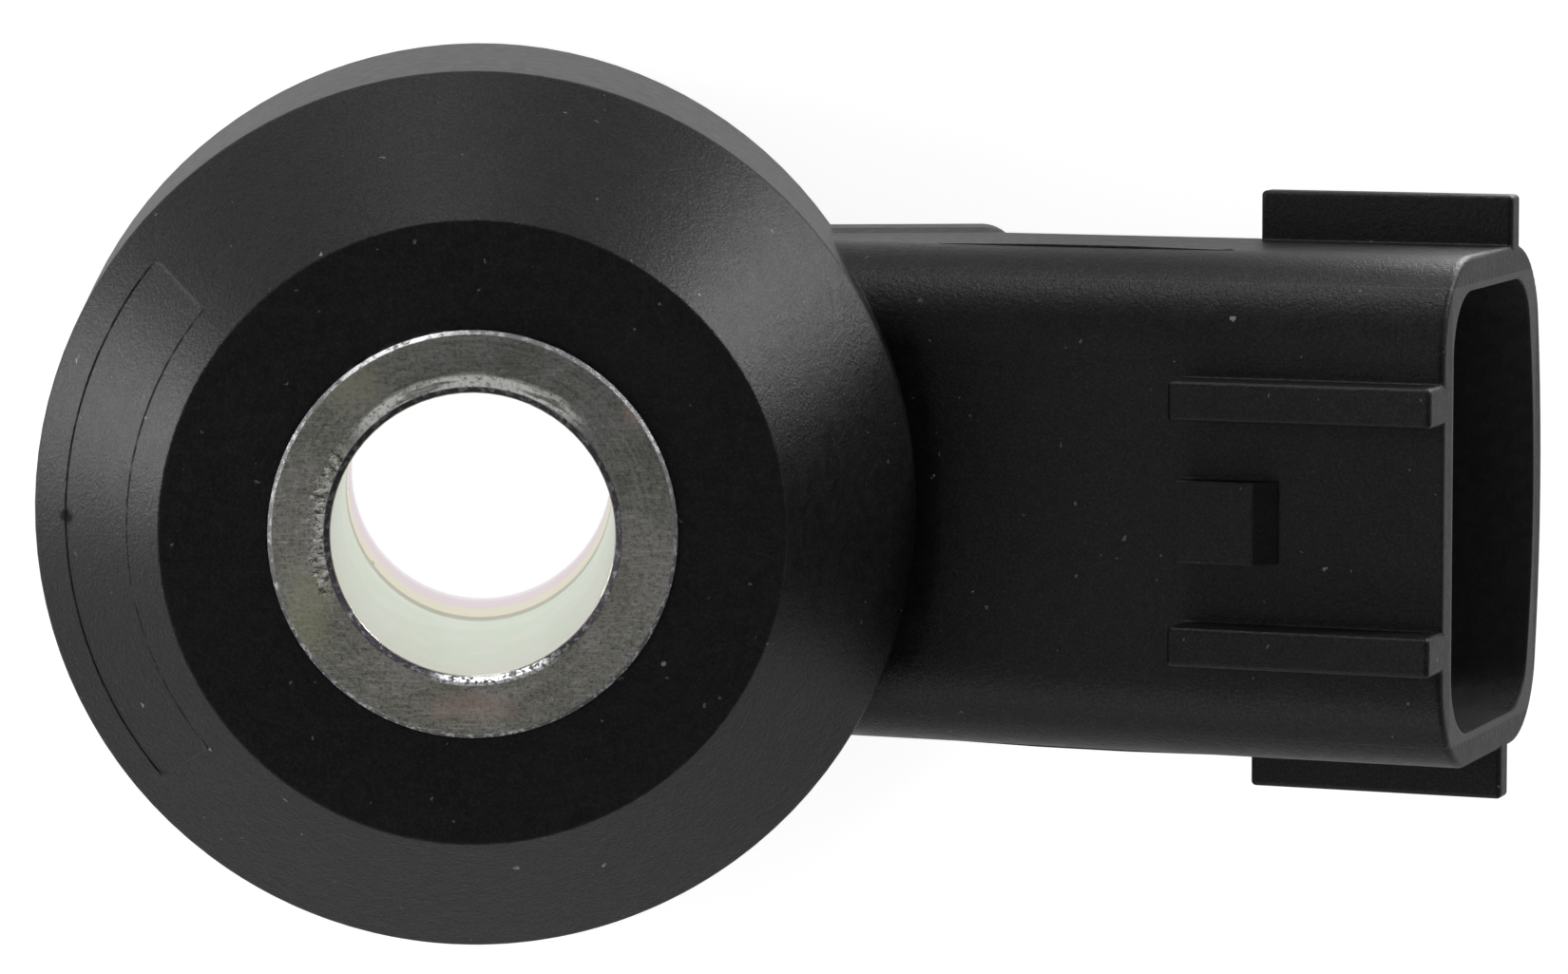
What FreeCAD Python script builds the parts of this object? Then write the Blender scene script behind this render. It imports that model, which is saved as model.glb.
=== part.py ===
import FreeCAD, Part
import Sketcher
import os

# Engine knock sensor, flat-response "ring" type: a steel sleeve clamps a piezoelectric ring and a
# seismic mass, and black glass-filled nylon is moulded over them with a slanted two-way socket.
# Millimetres. Origin: the bore's centre on the mounting face. +Z runs along the bore towards the
# bolt head, +X points to the socket.

# Driving sizes
SIZES = {
    # steel sleeve
    "bore_dia": 8.4,
    "sleeve_wall": 1.85,
    "sleeve_length": 19.0,
    "flange_lip": 0.3,
    "flange_height": 2.6,
    "bore_chamfer": 0.18,
    "sleeve_chamfer": 0.12,
    "flange_chamfer": 0.4,
    # ring stack inside the plastic
    "tube_clearance": 0.1,
    "tube_wall": 0.35,
    "ring_clearance": 0.1,
    "ring_width": 3.4,
    "insulator_height": 0.4,
    "electrode_height": 0.3,
    "piezo_height": 3.0,
    "spring_height": 1.0,
    "spring_sheet": 0.7,
    "spring_inset": 1.2,
    "nut_height": 2.4,
    "nut_wall": 2.5,
    "nut_clearance": 0.05,
    "nut_slot_width": 2.0,
    "nut_slot_depth": 0.9,
    "nut_cover": 3.65,
    # moulded round body
    "body_dia": 26.8,
    "body_draft": 0.42,
    "body_lift": 0.4,
    "cone_height": 6.15,
    "face_dia": 18.56,
    "face_drop": 0.35,
    "body_edge_round": 0.25,
    "mould_gap": 0.03,
    # shallow moulded panel in the cone, opposite the socket
    "panel_inner_dia": 20.6,
    "panel_width": 2.05,
    "panel_half_angle": 39.5,
    "panel_corner": 0.3,
    "panel_depth": 0.035,
    # slanted socket
    "socket_slope": 23.5,
    "socket_run": 21.15,
    "socket_width": 15.6,
    "socket_thickness": 11.5,
    "socket_wall": 1.05,
    "socket_depth": 12.5,
    "front_round": 3.0,
    "rear_round": 2.8,
    "rear_crown": 1.0,
    "rim_round": 0.2,
    "root_overlap": 4.0,
    "ledge_reach": 4.0,
    "ledge_height": 3.0,
    "ledge_proud": 0.12,
    "ledge_slant": 1.2,
    "ledge_lean": 0.2,
    "ledge_round": 1.2,
    # what locks and keys the plug, on the socket's outside
    "rib_width": 1.2,
    "rib_height": 1.45,
    "rib_length": 8.2,
    "rib_pitch": 7.45,
    "latch_shift": 0.2,
    "latch_width": 2.5,
    "latch_height": 0.65,
    "latch_start": 8.14,
    "latch_flat": 2.4,
    "latch_ramp": 0.6,
    "recess_length": 8.6,
    "recess_ramp": 4.0,
    "recess_depth": 0.08,
    "plate_proud": 1.55,
    "plate_thickness": 0.9,
    "plate_length": 8.1,
    "plate_level": 1.5,
    "plate_stagger": 0.4,
    "small_round": 0.15,
    "sink": 0.6,
    "overcut": 1.0,
    # terminals and what joins them to the electrodes
    "tab_reach": 1.96,
    "tab_width": 1.6,
    "tab_root": 1.1,
    "tab_weld": 3.6,
    "foot_start": 1.6,
    "foot_end": 3.0,
    "terminal_pitch": 6.0,
    "terminal_width": 1.8,
    "terminal_thickness": 0.8,
    "terminal_tail": 0.9,
    "terminal_recess": 6.0,
    "terminal_point": 0.5,
    "terminal_tip": 0.4,
    "carrier_length": 3.5,
    "carrier_width": 11.6,
    "carrier_thickness": 6.0,
    "carrier_round": 0.6,
    # shunt resistor across the terminals
    "resistor_dia": 2.0,
    "resistor_length": 3.2,
    "resistor_cap": 0.5,
    "resistor_cap_wall": 0.1,
    "resistor_gap": 0.4,
    "resistor_height": 1.9,
    "lead_dia": 0.5,
    "lead_reach": 0.5,
}

doc = FreeCAD.newDocument("knock_sensor")
sheet = doc.addObject("Spreadsheet::Sheet", "sizes")
for row, (alias, value) in enumerate(SIZES.items(), start=1):
    sheet.set("A%d" % row, alias)
    sheet.set("B%d" % row, str(value))
    sheet.setAlias("B%d" % row, alias)
doc.recompute()

# Heights and radii that follow from the driving sizes, as expressions on the sheet
SLEEVE_R = "(sizes.bore_dia / 2 + sizes.sleeve_wall)"
TUBE_R = "(%s + sizes.tube_clearance)" % SLEEVE_R
RING_IN = "(%s + sizes.tube_wall + sizes.ring_clearance)" % TUBE_R
RING_OUT = "(%s + sizes.ring_width)" % RING_IN
FLANGE_R = "(%s + sizes.flange_lip)" % RING_OUT
NUT_IN = "(%s + sizes.nut_clearance)" % SLEEVE_R
NUT_OUT = "(%s + sizes.nut_wall)" % NUT_IN
SPRING_OUT = "(%s - sizes.spring_inset)" % RING_OUT

Z_LOWER_ELECTRODE = "(sizes.flange_height + sizes.insulator_height)"
Z_PIEZO = "(%s + sizes.electrode_height)" % Z_LOWER_ELECTRODE
Z_UPPER_ELECTRODE = "(%s + sizes.piezo_height)" % Z_PIEZO
Z_UPPER_INSULATOR = "(%s + sizes.electrode_height)" % Z_UPPER_ELECTRODE
Z_MASS = "(%s + sizes.insulator_height)" % Z_UPPER_INSULATOR
FACE_Z = "(sizes.sleeve_length - sizes.face_drop)"
EDGE_Z = "(%s - sizes.cone_height)" % FACE_Z
Z_NUT_TOP = "(%s - sizes.nut_cover)" % FACE_Z
Z_NUT = "(%s - sizes.nut_height)" % Z_NUT_TOP
Z_SPRING = "(%s - sizes.spring_height)" % Z_NUT

BODY_R = "(sizes.body_dia / 2)"
HALF_WIDTH = "(sizes.socket_width / 2)"
HALF_THICK = "(sizes.socket_thickness / 2)"
HALF_BLADE = "(sizes.terminal_thickness / 2)"
ROOT_X = "(%s + sizes.tab_reach)" % RING_OUT
ROOT_Z = Z_PIEZO
FLOOR_S = "(sizes.socket_run - sizes.socket_depth)"
CARRIER_S = "(%s - sizes.carrier_length)" % FLOOR_S
SIDES = {"left": 1, "right": -1}
SPANNER_SLOTS = 4
FULL_TURN = 360
SAME = 1e-6


def number(expression):
    """The value of an expression on the sheet, as a plain number."""
    value = sheet.evalExpression(expression)
    return float(getattr(value, "Value", value))


def slanted(along, above):
    """A point of the XZ plane in the socket's own slanted directions.

    along runs up the terminals from where they meet the lower electrode's tab, and above is
    measured from the terminals' middle plane towards the side that carries the latch.
    """
    off = "((%s) + %s)" % (above, HALF_BLADE)
    x = "%s + (%s) * cos(sizes.socket_slope) - %s * sin(sizes.socket_slope)" % (ROOT_X, along, off)
    z = "%s + (%s) * sin(sizes.socket_slope) + %s * cos(sizes.socket_slope)" % (ROOT_Z, along, off)
    return x, z


def behind_mouth(distance, above):
    """A slanted point given by its distance behind the socket's mouth."""
    return slanted("sizes.socket_run - (%s)" % distance, above)


def new_body(name):
    body = doc.addObject("PartDesign::Body", name)
    body.Label = name
    return body


def plane_of(body, role):
    for feature in body.Origin.OriginFeatures:
        if feature.Role == role:
            return feature
    raise ValueError(role)


def new_sketch(body, role, lift="0"):
    """An empty sketch on one of the body's own origin planes, lifted along the plane's normal."""
    sketch = body.newObject("Sketcher::SketchObject", body.Name + "_sketch")
    sketch.AttachmentSupport = [(plane_of(body, role), "")]
    sketch.MapMode = "FlatFace"
    sketch.setExpression(".AttachmentOffset.Base.z", lift)
    return sketch


def pin_point(sketch, geometry, end, point):
    """Ties one end of a line or arc to a pair of expressions."""
    for kind, expression in zip(("DistanceX", "DistanceY"), point):
        index = sketch.addConstraint(
            Sketcher.Constraint(kind, -1, 1, geometry, end, number(expression)))
        sketch.setExpression("Constraints[%d]" % index, expression)


def outline(sketch, points):
    """A closed outline of straight lines through points given as expressions."""
    places = [FreeCAD.Vector(number(x), number(y), 0) for x, y in points]
    first = sketch.GeometryCount
    count = len(places)
    for index, start in enumerate(places):
        end = places[(index + 1) % count]
        sketch.addGeometry(Part.LineSegment(start, end), False)
    for index in range(count):
        following = first + (index + 1) % count
        sketch.addConstraint(Sketcher.Constraint("Coincident", first + index, 2, following, 1))
    for index, point in enumerate(points):
        pin_point(sketch, first + index, 1, point)
    doc.recompute()


def pad(body, sketch, length, reverse=False):
    feature = body.newObject("PartDesign::Pad", body.Name + "_pad")
    feature.Profile = sketch
    feature.setExpression("Length", length)
    feature.Reversed = reverse
    doc.recompute()
    return feature


def revolve(body, points):
    """A solid of revolution about Z from an outline of radius and height expressions."""
    sketch = new_sketch(body, "XZ_Plane")
    outline(sketch, points)
    feature = body.newObject("PartDesign::Revolution", body.Name + "_turned")
    feature.Profile = sketch
    feature.ReferenceAxis = (sketch, ["V_Axis"])
    feature.Angle = FULL_TURN
    doc.recompute()
    return feature


def slab(body, points, y_low, y_high):
    """A prism: an outline in the XZ plane that runs from y_low to y_high."""
    sketch = new_sketch(body, "XZ_Plane", "-(%s)" % y_high)
    outline(sketch, points)
    return pad(body, sketch, "(%s) - (%s)" % (y_high, y_low))


def round_edges(body, feature, names, radius):
    fillet = body.newObject("PartDesign::Fillet", body.Name + "_round")
    fillet.Base = (feature, names)
    fillet.setExpression("Radius", radius)
    doc.recompute()
    return fillet


def edge_names(feature, wanted):
    """Names of the edges of a feature whose shape passes a test."""
    edges = feature.Shape.Edges
    return ["Edge%d" % (index + 1) for index, edge in enumerate(edges) if wanted(edge)]


def ring(name, inner, outer, low, high):
    """A plain ring about Z, as a part of its own."""
    body = new_body(name)
    revolve(body, [(inner, low), (outer, low), (outer, high), (inner, high)])
    return body


def fuse(name, shapes):
    joined = doc.addObject("Part::MultiFuse", name)
    joined.Shapes = shapes
    joined.Refine = True
    doc.recompute()
    return joined


def cut(name, base, tool):
    result = doc.addObject("Part::Cut", name)
    result.Base = base
    result.Tool = tool
    doc.recompute()
    return result


def place(thing, x="0", y="0", z="0", angle=None):
    """Ties an object's Placement to expressions; the turn is about the axis it already has."""
    for axis, expression in zip("xyz", (x, y, z)):
        thing.setExpression("Placement.Base." + axis, expression)
    if angle is not None:
        thing.setExpression("Placement.Rotation.Angle", angle)
    doc.recompute()


# Sleeve: tube with a flange on the mounting side
def make_sleeve():
    body = new_body("sleeve")
    bore = "sizes.bore_dia / 2"
    revolve(body, [
        (bore + " + sizes.bore_chamfer", "0"),
        ("%s - sizes.flange_chamfer" % FLANGE_R, "0"),
        (FLANGE_R, "sizes.flange_chamfer"),
        (FLANGE_R, "sizes.flange_height"),
        (SLEEVE_R, "sizes.flange_height"),
        (SLEEVE_R, "sizes.sleeve_length - sizes.sleeve_chamfer"),
        ("%s - sizes.sleeve_chamfer" % SLEEVE_R, "sizes.sleeve_length"),
        (bore + " + sizes.bore_chamfer", "sizes.sleeve_length"),
        (bore, "sizes.sleeve_length - sizes.bore_chamfer"),
        (bore, "sizes.bore_chamfer"),
    ])
    return body


# Electrodes: contact rings, each with a tab that is welded to its terminal
def make_electrode(name, low, side, tab_points):
    body = new_body(name)
    high = "(%s + sizes.electrode_height)" % low
    revolve(body, [(RING_IN, low), (RING_OUT, low), (RING_OUT, high), (RING_IN, high)])
    middle = "%d * sizes.terminal_pitch / 2" % side
    slab(body, tab_points, middle + " - sizes.tab_width / 2", middle + " + sizes.tab_width / 2")
    return body


def lower_tab_points():
    start = "%s - sizes.tab_root" % RING_OUT
    under = "-%s - sizes.electrode_height" % HALF_BLADE
    bend = "%s + sizes.electrode_height * tan(sizes.socket_slope / 2)" % ROOT_X
    return [
        (start, Z_LOWER_ELECTRODE),
        (bend, Z_LOWER_ELECTRODE),
        slanted("sizes.tab_weld", under),
        slanted("sizes.tab_weld", "-" + HALF_BLADE),
        (ROOT_X, Z_PIEZO),
        (start, Z_PIEZO),
    ]


def upper_tab_points():
    start = "%s - sizes.tab_root" % RING_OUT
    bend = "%s + sizes.tab_reach / 2" % RING_OUT
    top = "%s + sizes.electrode_height" % HALF_BLADE
    return [
        (start, Z_UPPER_ELECTRODE),
        (bend, Z_UPPER_ELECTRODE),
        slanted("sizes.foot_start", HALF_BLADE),
        slanted("sizes.foot_end", HALF_BLADE),
        slanted("sizes.foot_end", top),
        slanted("sizes.foot_start + sizes.electrode_height / 2", top),
        (bend + " + sizes.electrode_height / 2", Z_UPPER_INSULATOR),
        (start, Z_UPPER_INSULATOR),
    ]


# Disc spring: a coned washer between the seismic mass and the nut
def make_disc_spring():
    body = new_body("disc_spring")
    top = "(%s - sizes.spring_sheet)" % Z_NUT
    revolve(body, [
        (RING_IN, top),
        (SPRING_OUT, Z_SPRING),
        (SPRING_OUT, "%s + sizes.spring_sheet" % Z_SPRING),
        (RING_IN, Z_NUT),
    ])
    return body


# Ring nut: turned ring with four spanner slots round its edge
def make_ring_nut():
    body = new_body("ring_nut")
    revolve(body, [(NUT_IN, Z_NUT), (NUT_OUT, Z_NUT), (NUT_OUT, Z_NUT_TOP), (NUT_IN, Z_NUT_TOP)])
    sketch = new_sketch(body, "XY_Plane", Z_NUT_TOP)
    inner = "%s - sizes.nut_slot_depth" % NUT_OUT
    outer = "%s + sizes.overcut" % NUT_OUT
    half = "sizes.nut_slot_width / 2"
    outline(sketch, [(inner, "-" + half), (outer, "-" + half), (outer, half), (inner, half)])
    slot = body.newObject("PartDesign::Pocket", "ring_nut_slot")
    slot.Profile = sketch
    slot.setExpression("Length", "sizes.nut_height")
    doc.recompute()
    pattern = body.newObject("PartDesign::PolarPattern", "ring_nut_slots")
    pattern.Originals = [slot]
    pattern.Axis = (sketch, ["N_Axis"])
    pattern.Angle = FULL_TURN
    pattern.Occurrences = SPANNER_SLOTS
    body.Tip = pattern
    doc.recompute()
    return body


# Terminals: flat blades, pointed at the plug's end
def make_terminal(name, side):
    body = new_body(name)
    middle = "%d * sizes.terminal_pitch / 2" % side
    tip = "sizes.socket_run - sizes.terminal_recess"
    half_tip = "sizes.terminal_tip / 2"
    slab(body, [
        slanted("sizes.terminal_tail", "-" + HALF_BLADE),
        slanted(tip + " - sizes.terminal_point", "-" + HALF_BLADE),
        slanted(tip, "-" + half_tip),
        slanted(tip, half_tip),
        slanted(tip + " - sizes.terminal_point", HALF_BLADE),
        slanted("sizes.terminal_tail", HALF_BLADE),
    ], middle + " - sizes.terminal_width / 2", middle + " + sizes.terminal_width / 2")
    return body


# Terminal carrier: block moulded round the terminals first; its face is the socket's floor
def make_terminal_carrier(terminals):
    block = new_body("carrier_block")
    half = "sizes.carrier_thickness / 2"
    base = slab(block, [
        slanted(CARRIER_S, "-" + half),
        slanted(FLOOR_S, "-" + half),
        slanted(FLOOR_S, half),
        slanted(CARRIER_S, half),
    ], "-sizes.carrier_width / 2", "sizes.carrier_width / 2")
    reach = number("sizes.carrier_width / 2")
    length = number("sizes.carrier_length")
    long_edges = edge_names(base, lambda edge: abs(edge.Length - length) < SAME and all(
        abs(abs(vertex.Y) - reach) < SAME for vertex in edge.Vertexes))
    round_edges(block, base, long_edges, "sizes.carrier_round")
    return cut("terminal_carrier", block, fuse("carrier_slots", terminals))


# Shunt resistor: a ceramic rod with a pressed cap and a bent wire lead at each end
def resistor_point(across, above):
    x, z = slanted("%s - sizes.resistor_gap - sizes.resistor_dia / 2" % CARRIER_S, above)
    return x, across, z


def rod(name, radius, length, point, along_y=True):
    """A cylinder along Y, or along the socket's own upward direction."""
    cylinder = doc.addObject("Part::Cylinder", name)
    cylinder.setExpression("Radius", radius)
    cylinder.setExpression("Height", length)
    if along_y:
        turn = FreeCAD.Rotation(FreeCAD.Vector(1, 0, 0), -90)
        cylinder.Placement = FreeCAD.Placement(FreeCAD.Vector(), turn)
        place(cylinder, *point)
    else:
        turn = FreeCAD.Rotation(FreeCAD.Vector(0, -1, 0), number("sizes.socket_slope"))
        cylinder.Placement = FreeCAD.Placement(FreeCAD.Vector(), turn)
        place(cylinder, *point, angle="sizes.socket_slope")
    return cylinder


def make_resistor():
    high = "sizes.resistor_height"
    half = "sizes.resistor_length / 2"
    radius = "sizes.resistor_dia / 2"
    core = "%s - sizes.resistor_cap_wall" % radius
    lead = "sizes.lead_dia / 2"
    parts = [rod("resistor_body", core, "sizes.resistor_length", resistor_point("-" + half, high))]
    cap_end = "(%s + sizes.resistor_cap_wall)" % half
    for word, side in SIDES.items():
        inner = "(%s - sizes.resistor_cap)" % half
        cap_low = inner if side > 0 else "-" + cap_end
        cap = rod("cap_blank_" + word, radius, "%s - %s" % (cap_end, inner),
                  resistor_point(cap_low, high))
        cap = cut("resistor_cap_" + word, cap, parts[0])
        run = "(sizes.lead_reach + %s)" % lead
        lead_low = cap_end if side > 0 else "-%s - %s" % (cap_end, run)
        bend = "%d * (%s + sizes.lead_reach)" % (side, cap_end)
        flat = rod("lead_run_" + word, lead, run, resistor_point(lead_low, high))
        drop = rod("lead_drop_" + word, lead, "%s + %s - %s" % (high, lead, HALF_BLADE),
                   resistor_point(bend, HALF_BLADE), along_y=False)
        parts += [cap, fuse("resistor_lead_" + word, [flat, drop])]
    return parts


# Socket outline: flat front, straight sides and an arched rear wall, drawn across the slant
def socket_form(name, inset, depth):
    body = new_body(name)
    sketch = body.newObject("Sketcher::SketchObject", name + "_sketch")
    sketch.AttachmentSupport = [(plane_of(body, "YZ_Plane"), "")]
    sketch.MapMode = "FlatFace"
    turn = FreeCAD.Rotation(FreeCAD.Vector(-1, 0, 0), number("sizes.socket_slope"))
    sketch.AttachmentOffset = FreeCAD.Placement(FreeCAD.Vector(), turn)
    x, z = behind_mouth("0", "0")
    sketch.setExpression(".AttachmentOffset.Base.y", z)
    sketch.setExpression(".AttachmentOffset.Base.z", x)
    sketch.setExpression(".AttachmentOffset.Rotation.Angle", "sizes.socket_slope")
    half = "(%s - %s)" % (HALF_WIDTH, inset)
    front = "(%s - %s)" % (HALF_THICK, inset)
    corner = "(sizes.rear_crown - %s)" % front
    corners = [(half, corner), (half, front), ("-" + half, front), ("-" + half, corner)]
    places = [FreeCAD.Vector(number(px), number(py), 0) for px, py in corners]
    for start_point, end_point in zip(places, places[1:]):
        sketch.addGeometry(Part.LineSegment(start_point, end_point), False)
    middle = FreeCAD.Vector(0, -number(front), 0)
    sketch.addGeometry(Part.Arc(places[3], middle, places[0]), False)
    for first, second in ((0, 1), (1, 2)):
        sketch.addConstraint(Sketcher.Constraint("Coincident", first, 2, second, 1))
    for geometry, end, point in ((0, 1, corners[0]), (0, 2, corners[1]), (1, 2, corners[2]),
                                 (2, 2, corners[3])):
        pin_point(sketch, geometry, end, point)
    sketch.addConstraint(Sketcher.Constraint("Coincident", 2, 2, 3, 1))
    sketch.addConstraint(Sketcher.Constraint("Coincident", 3, 2, 0, 1))
    arch = "(%s^2 + sizes.rear_crown^2) / (2 * sizes.rear_crown)" % half
    radius = sketch.addConstraint(Sketcher.Constraint("Radius", 3, number(arch)))
    sketch.setExpression("Constraints[%d]" % radius, arch)
    doc.recompute()
    base = pad(body, sketch, depth, reverse=True)
    long_edges = [edge for edge in base.Shape.Edges if abs(edge.Length - number(depth)) < SAME]
    long_edges.sort(key=lambda edge: edge.CenterOfMass.z)
    rear, front_edges = long_edges[:2], long_edges[2:]
    names = edge_names(base, lambda edge: any(edge.isSame(one) for one in front_edges))
    rounded = round_edges(body, base, names, "sizes.front_round - %s" % inset)
    centres = [edge.CenterOfMass for edge in rear]
    names = edge_names(rounded, lambda edge: any(
        edge.CenterOfMass.distanceToPoint(point) < SAME for point in centres))
    round_edges(body, rounded, names, "sizes.rear_round - %s" % inset)
    return body


def soften_mouth(body):
    """Rounds the outer edge of the socket's rim."""
    tip = body.Tip
    mouth = FreeCAD.Vector(number(behind_mouth("0", "0")[0]), 0, number(behind_mouth("0", "0")[1]))
    slope = FreeCAD.Rotation(FreeCAD.Vector(0, -1, 0), number("sizes.socket_slope"))
    outward = slope.multVec(FreeCAD.Vector(1, 0, 0))
    names = edge_names(tip, lambda edge: all(
        abs((vertex.Point - mouth).dot(outward)) < SAME for vertex in edge.Vertexes))
    round_edges(body, tip, names, "sizes.rim_round")


def raised_block(name, far, near, low, high, y_low, y_high):
    """A block on the socket's outside, from far to near behind the mouth, with softened edges."""
    body = new_body(name)
    base = slab(body, [
        behind_mouth(far, low),
        behind_mouth(near, low),
        behind_mouth(near, high),
        behind_mouth(far, high),
    ], y_low, y_high)
    round_edges(body, base, edge_names(base, lambda edge: True), "sizes.small_round")
    return body


# What stands proud of the socket: two guide ribs, the latch bump and two keying plates
def make_socket_trim():
    blocks = []
    sunk = "%s - sizes.sink" % HALF_THICK
    top = "%s + sizes.rib_height" % HALF_THICK
    for word, side in SIDES.items():
        middle = "(%d * sizes.rib_pitch / 2 - sizes.latch_shift)" % side
        blocks.append(raised_block(
            "rib_form_" + word, "sizes.rib_length", "0", sunk, top,
            middle + " - sizes.rib_width / 2", middle + " + sizes.rib_width / 2"))
    latch = new_body("latch_form")
    flat_end = "sizes.latch_start - sizes.latch_flat"
    latch_top = "%s + sizes.latch_height" % HALF_THICK
    slab(latch, [
        behind_mouth("sizes.latch_start", sunk),
        behind_mouth(flat_end + " - sizes.latch_ramp", sunk),
        behind_mouth(flat_end + " - sizes.latch_ramp", HALF_THICK),
        behind_mouth(flat_end, latch_top),
        behind_mouth("sizes.latch_start", latch_top),
    ], "-sizes.latch_width / 2 - sizes.latch_shift", "sizes.latch_width / 2 - sizes.latch_shift")
    blocks.append(latch)
    for word, side in SIDES.items():
        level = "(-sizes.plate_level - %d * sizes.plate_stagger)" % side
        inner = "(%s - sizes.sink)" % HALF_WIDTH
        outer = "(%s + sizes.plate_proud)" % HALF_WIDTH
        low, high = (inner, outer) if side > 0 else ("-" + outer, "-" + inner)
        blocks.append(raised_block(
            "plate_form_" + word, "sizes.plate_length", "0",
            level + " - sizes.plate_thickness", level, low, high))
    return blocks


# Round body: cylinder with mould draft, a cone above it and a flat face round the sleeve
def make_round_form():
    body = new_body("round_form")
    turned = revolve(body, [
        ("0", "sizes.body_lift"),
        ("%s + sizes.body_draft" % BODY_R, "sizes.body_lift"),
        (BODY_R, EDGE_Z),
        ("sizes.face_dia / 2", FACE_Z),
        ("0", FACE_Z),
    ])
    rims = [number(BODY_R), number("%s + sizes.body_draft" % BODY_R)]
    names = edge_names(turned, lambda edge: hasattr(edge.Curve, "Radius") and any(
        abs(edge.Curve.Radius - rim) < SAME for rim in rims))
    round_edges(body, turned, names, "sizes.body_edge_round")
    return body


# Root ledge: foot under the socket's root, its upper part leaning in to the socket's sides
def make_ledge():
    body = new_body("ledge_form")
    half = "(%s + sizes.ledge_proud)" % HALF_WIDTH
    leant = "(%s - sizes.ledge_lean)" % half
    top = "sizes.body_lift + sizes.ledge_height"
    shoulder = top + " - sizes.ledge_slant"
    sketch = new_sketch(body, "YZ_Plane", "%s - sizes.root_overlap" % BODY_R)
    outline(sketch, [
        ("-" + half, "sizes.body_lift"),
        (half, "sizes.body_lift"),
        (half, shoulder),
        (leant, top),
        ("-" + leant, top),
        ("-" + half, shoulder),
    ])
    base = pad(body, sketch, "sizes.root_overlap + sizes.ledge_reach")
    reach = number("%s + sizes.ledge_reach" % BODY_R)
    names = edge_names(base, lambda edge: all(
        abs(vertex.X - reach) < SAME for vertex in edge.Vertexes) and abs(
        edge.Vertexes[0].Z - edge.Vertexes[1].Z) > SAME)
    round_edges(body, base, names, "sizes.ledge_round")
    return body


# Room for the sleeve and the ring stack inside the plastic
def make_stack_room():
    body = new_body("stack_room")
    gap = " + sizes.mould_gap"
    below = "-sizes.overcut"
    above = "sizes.sleeve_length + sizes.overcut"
    revolve(body, [
        ("0", below),
        (FLANGE_R + gap, below),
        (FLANGE_R + gap, "sizes.flange_height"),
        (RING_OUT + gap, "sizes.flange_height"),
        (RING_OUT + gap, Z_SPRING),
        (SPRING_OUT + gap, Z_SPRING),
        (SPRING_OUT + gap, Z_NUT),
        (NUT_OUT + gap, Z_NUT),
        (NUT_OUT + gap, Z_NUT_TOP),
        (SLEEVE_R + gap, Z_NUT_TOP),
        (SLEEVE_R + gap, above),
        ("0", above),
    ])
    return body


# Everything below the moulded underside, which the slanted socket would reach
def make_underside_cut():
    body = new_body("underside_cut")
    far = "%s + sizes.socket_run" % ROOT_X
    below = "sizes.body_lift - sizes.socket_thickness"
    slab(body, [
        ("0", below),
        (far, below),
        (far, "sizes.body_lift"),
        ("0", "sizes.body_lift"),
    ], "-sizes.socket_width", "sizes.socket_width")
    return body


# Shallow hollow between the guide ribs, which deepens towards the mouth
def make_rib_recess():
    body = new_body("rib_recess")
    half = "(sizes.rib_pitch / 2 - sizes.rib_width / 2)"
    floor = HALF_THICK + " - sizes.recess_depth"
    above = HALF_THICK + " + sizes.overcut"
    slab(body, [
        behind_mouth("sizes.recess_length", HALF_THICK),
        behind_mouth("sizes.recess_length - sizes.recess_ramp", floor),
        behind_mouth("-sizes.overcut", floor),
        behind_mouth("-sizes.overcut", above),
        behind_mouth("sizes.recess_length", above),
    ], "-%s - sizes.latch_shift" % half, "%s - sizes.latch_shift" % half)
    return body


# Shallow panel in the cone: part of a ring with rounded corners, sunk evenly below the cone
def make_panel_cut():
    band = new_body("panel_band")
    inner = "-sizes.panel_inner_dia / 2"
    outer = "-sizes.panel_inner_dia / 2 - sizes.panel_width"
    top = "%s + sizes.overcut" % FACE_Z
    swept = revolve(band, [(outer, EDGE_Z), (inner, EDGE_Z), (inner, top), (outer, top)])
    swept.Midplane = True
    swept.setExpression("Angle", "2 * sizes.panel_half_angle")
    doc.recompute()
    height = number("%s - %s" % (top, EDGE_Z))
    corners = edge_names(swept, lambda edge: abs(edge.Length - height) < SAME)
    round_edges(band, swept, corners, "sizes.panel_corner")
    lowered = doc.addObject("Part::Cone", "panel_floor")
    lowered.setExpression("Radius1", BODY_R)
    lowered.setExpression("Radius2", "sizes.face_dia / 2")
    lowered.setExpression("Height", "sizes.cone_height")
    place(lowered, z="%s - sizes.panel_depth" % EDGE_Z)
    return cut("panel_cut", band, lowered)


sleeve = make_sleeve()
stack = [
    ring("insulating_tube", TUBE_R, "%s + sizes.tube_wall" % TUBE_R, "sizes.flange_height", Z_SPRING),
    ring("lower_insulator", RING_IN, RING_OUT, "sizes.flange_height", Z_LOWER_ELECTRODE),
    make_electrode("lower_electrode", Z_LOWER_ELECTRODE, SIDES["right"], lower_tab_points()),
    ring("piezo_ring", RING_IN, RING_OUT, Z_PIEZO, Z_UPPER_ELECTRODE),
    make_electrode("upper_electrode", Z_UPPER_ELECTRODE, SIDES["left"], upper_tab_points()),
    ring("upper_insulator", RING_IN, RING_OUT, Z_UPPER_INSULATOR, Z_MASS),
    ring("seismic_mass", RING_IN, RING_OUT, Z_MASS, Z_SPRING),
    make_disc_spring(),
    make_ring_nut(),
]
electrodes = [piece for piece in stack if piece.Label.endswith("_electrode")]
terminals = [make_terminal("terminal_" + word, side) for word, side in SIDES.items()]
carrier = make_terminal_carrier(terminals)
resistor = make_resistor()

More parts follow.
